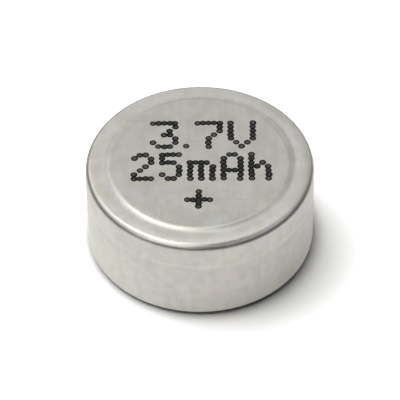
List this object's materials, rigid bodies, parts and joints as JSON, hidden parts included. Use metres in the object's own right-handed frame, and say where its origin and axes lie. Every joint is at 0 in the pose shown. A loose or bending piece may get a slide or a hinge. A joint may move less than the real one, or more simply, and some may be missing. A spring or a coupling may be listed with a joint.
{
  "type": "rechargeable hearing aid battery",
  "caption": "Low round rechargeable lithium button cell for a hearing aid: a satin steel can with a raised contact face, closed by a cap and a sealing ring over a wound electrode roll.",
  "frame": {"origin": "Middle of the negative contact face, where the cell's axis meets the plane it stands on.", "axes": "+Z runs along the cell's axis from the negative face to the raised positive face. +X and +Y lie in the negative face, and the roll's tabs lie along +Y."},
  "size_m": [0.0094, 0.0094, 0.0041],
  "materials": {
    "can_metal": "satin nickel plate, finely brushed and faintly scuffed",
    "cap_metal": "satin nickel plate with faint drawing rings",
    "seal_plastic": "moulded polypropylene, matt",
    "cathode_coating": "black rolled powder coating on foil",
    "anode_coating": "dark grey rolled graphite coating on foil",
    "separator_film": "milky porous film",
    "tape_film": "thin amber film tape",
    "disc_film": "stamped insulating film",
    "aluminium_tab": "rolled foil strip",
    "nickel_tab": "rolled nickel strip"
  },
  "bodies": {
    "root": {"positive_can": "can_metal", "negative_cap": "cap_metal", "sealing_ring": "seal_plastic", "cathode_strip": "cathode_coating", "anode_strip": "anode_coating", "inner_separator": "separator_film", "outer_separator": "separator_film", "wrap_tape": "tape_film", "upper_insulator": "disc_film", "lower_insulator": "disc_film", "positive_tab": "aluminium_tab", "negative_tab": "nickel_tab"}
  },
  "joints": []
}
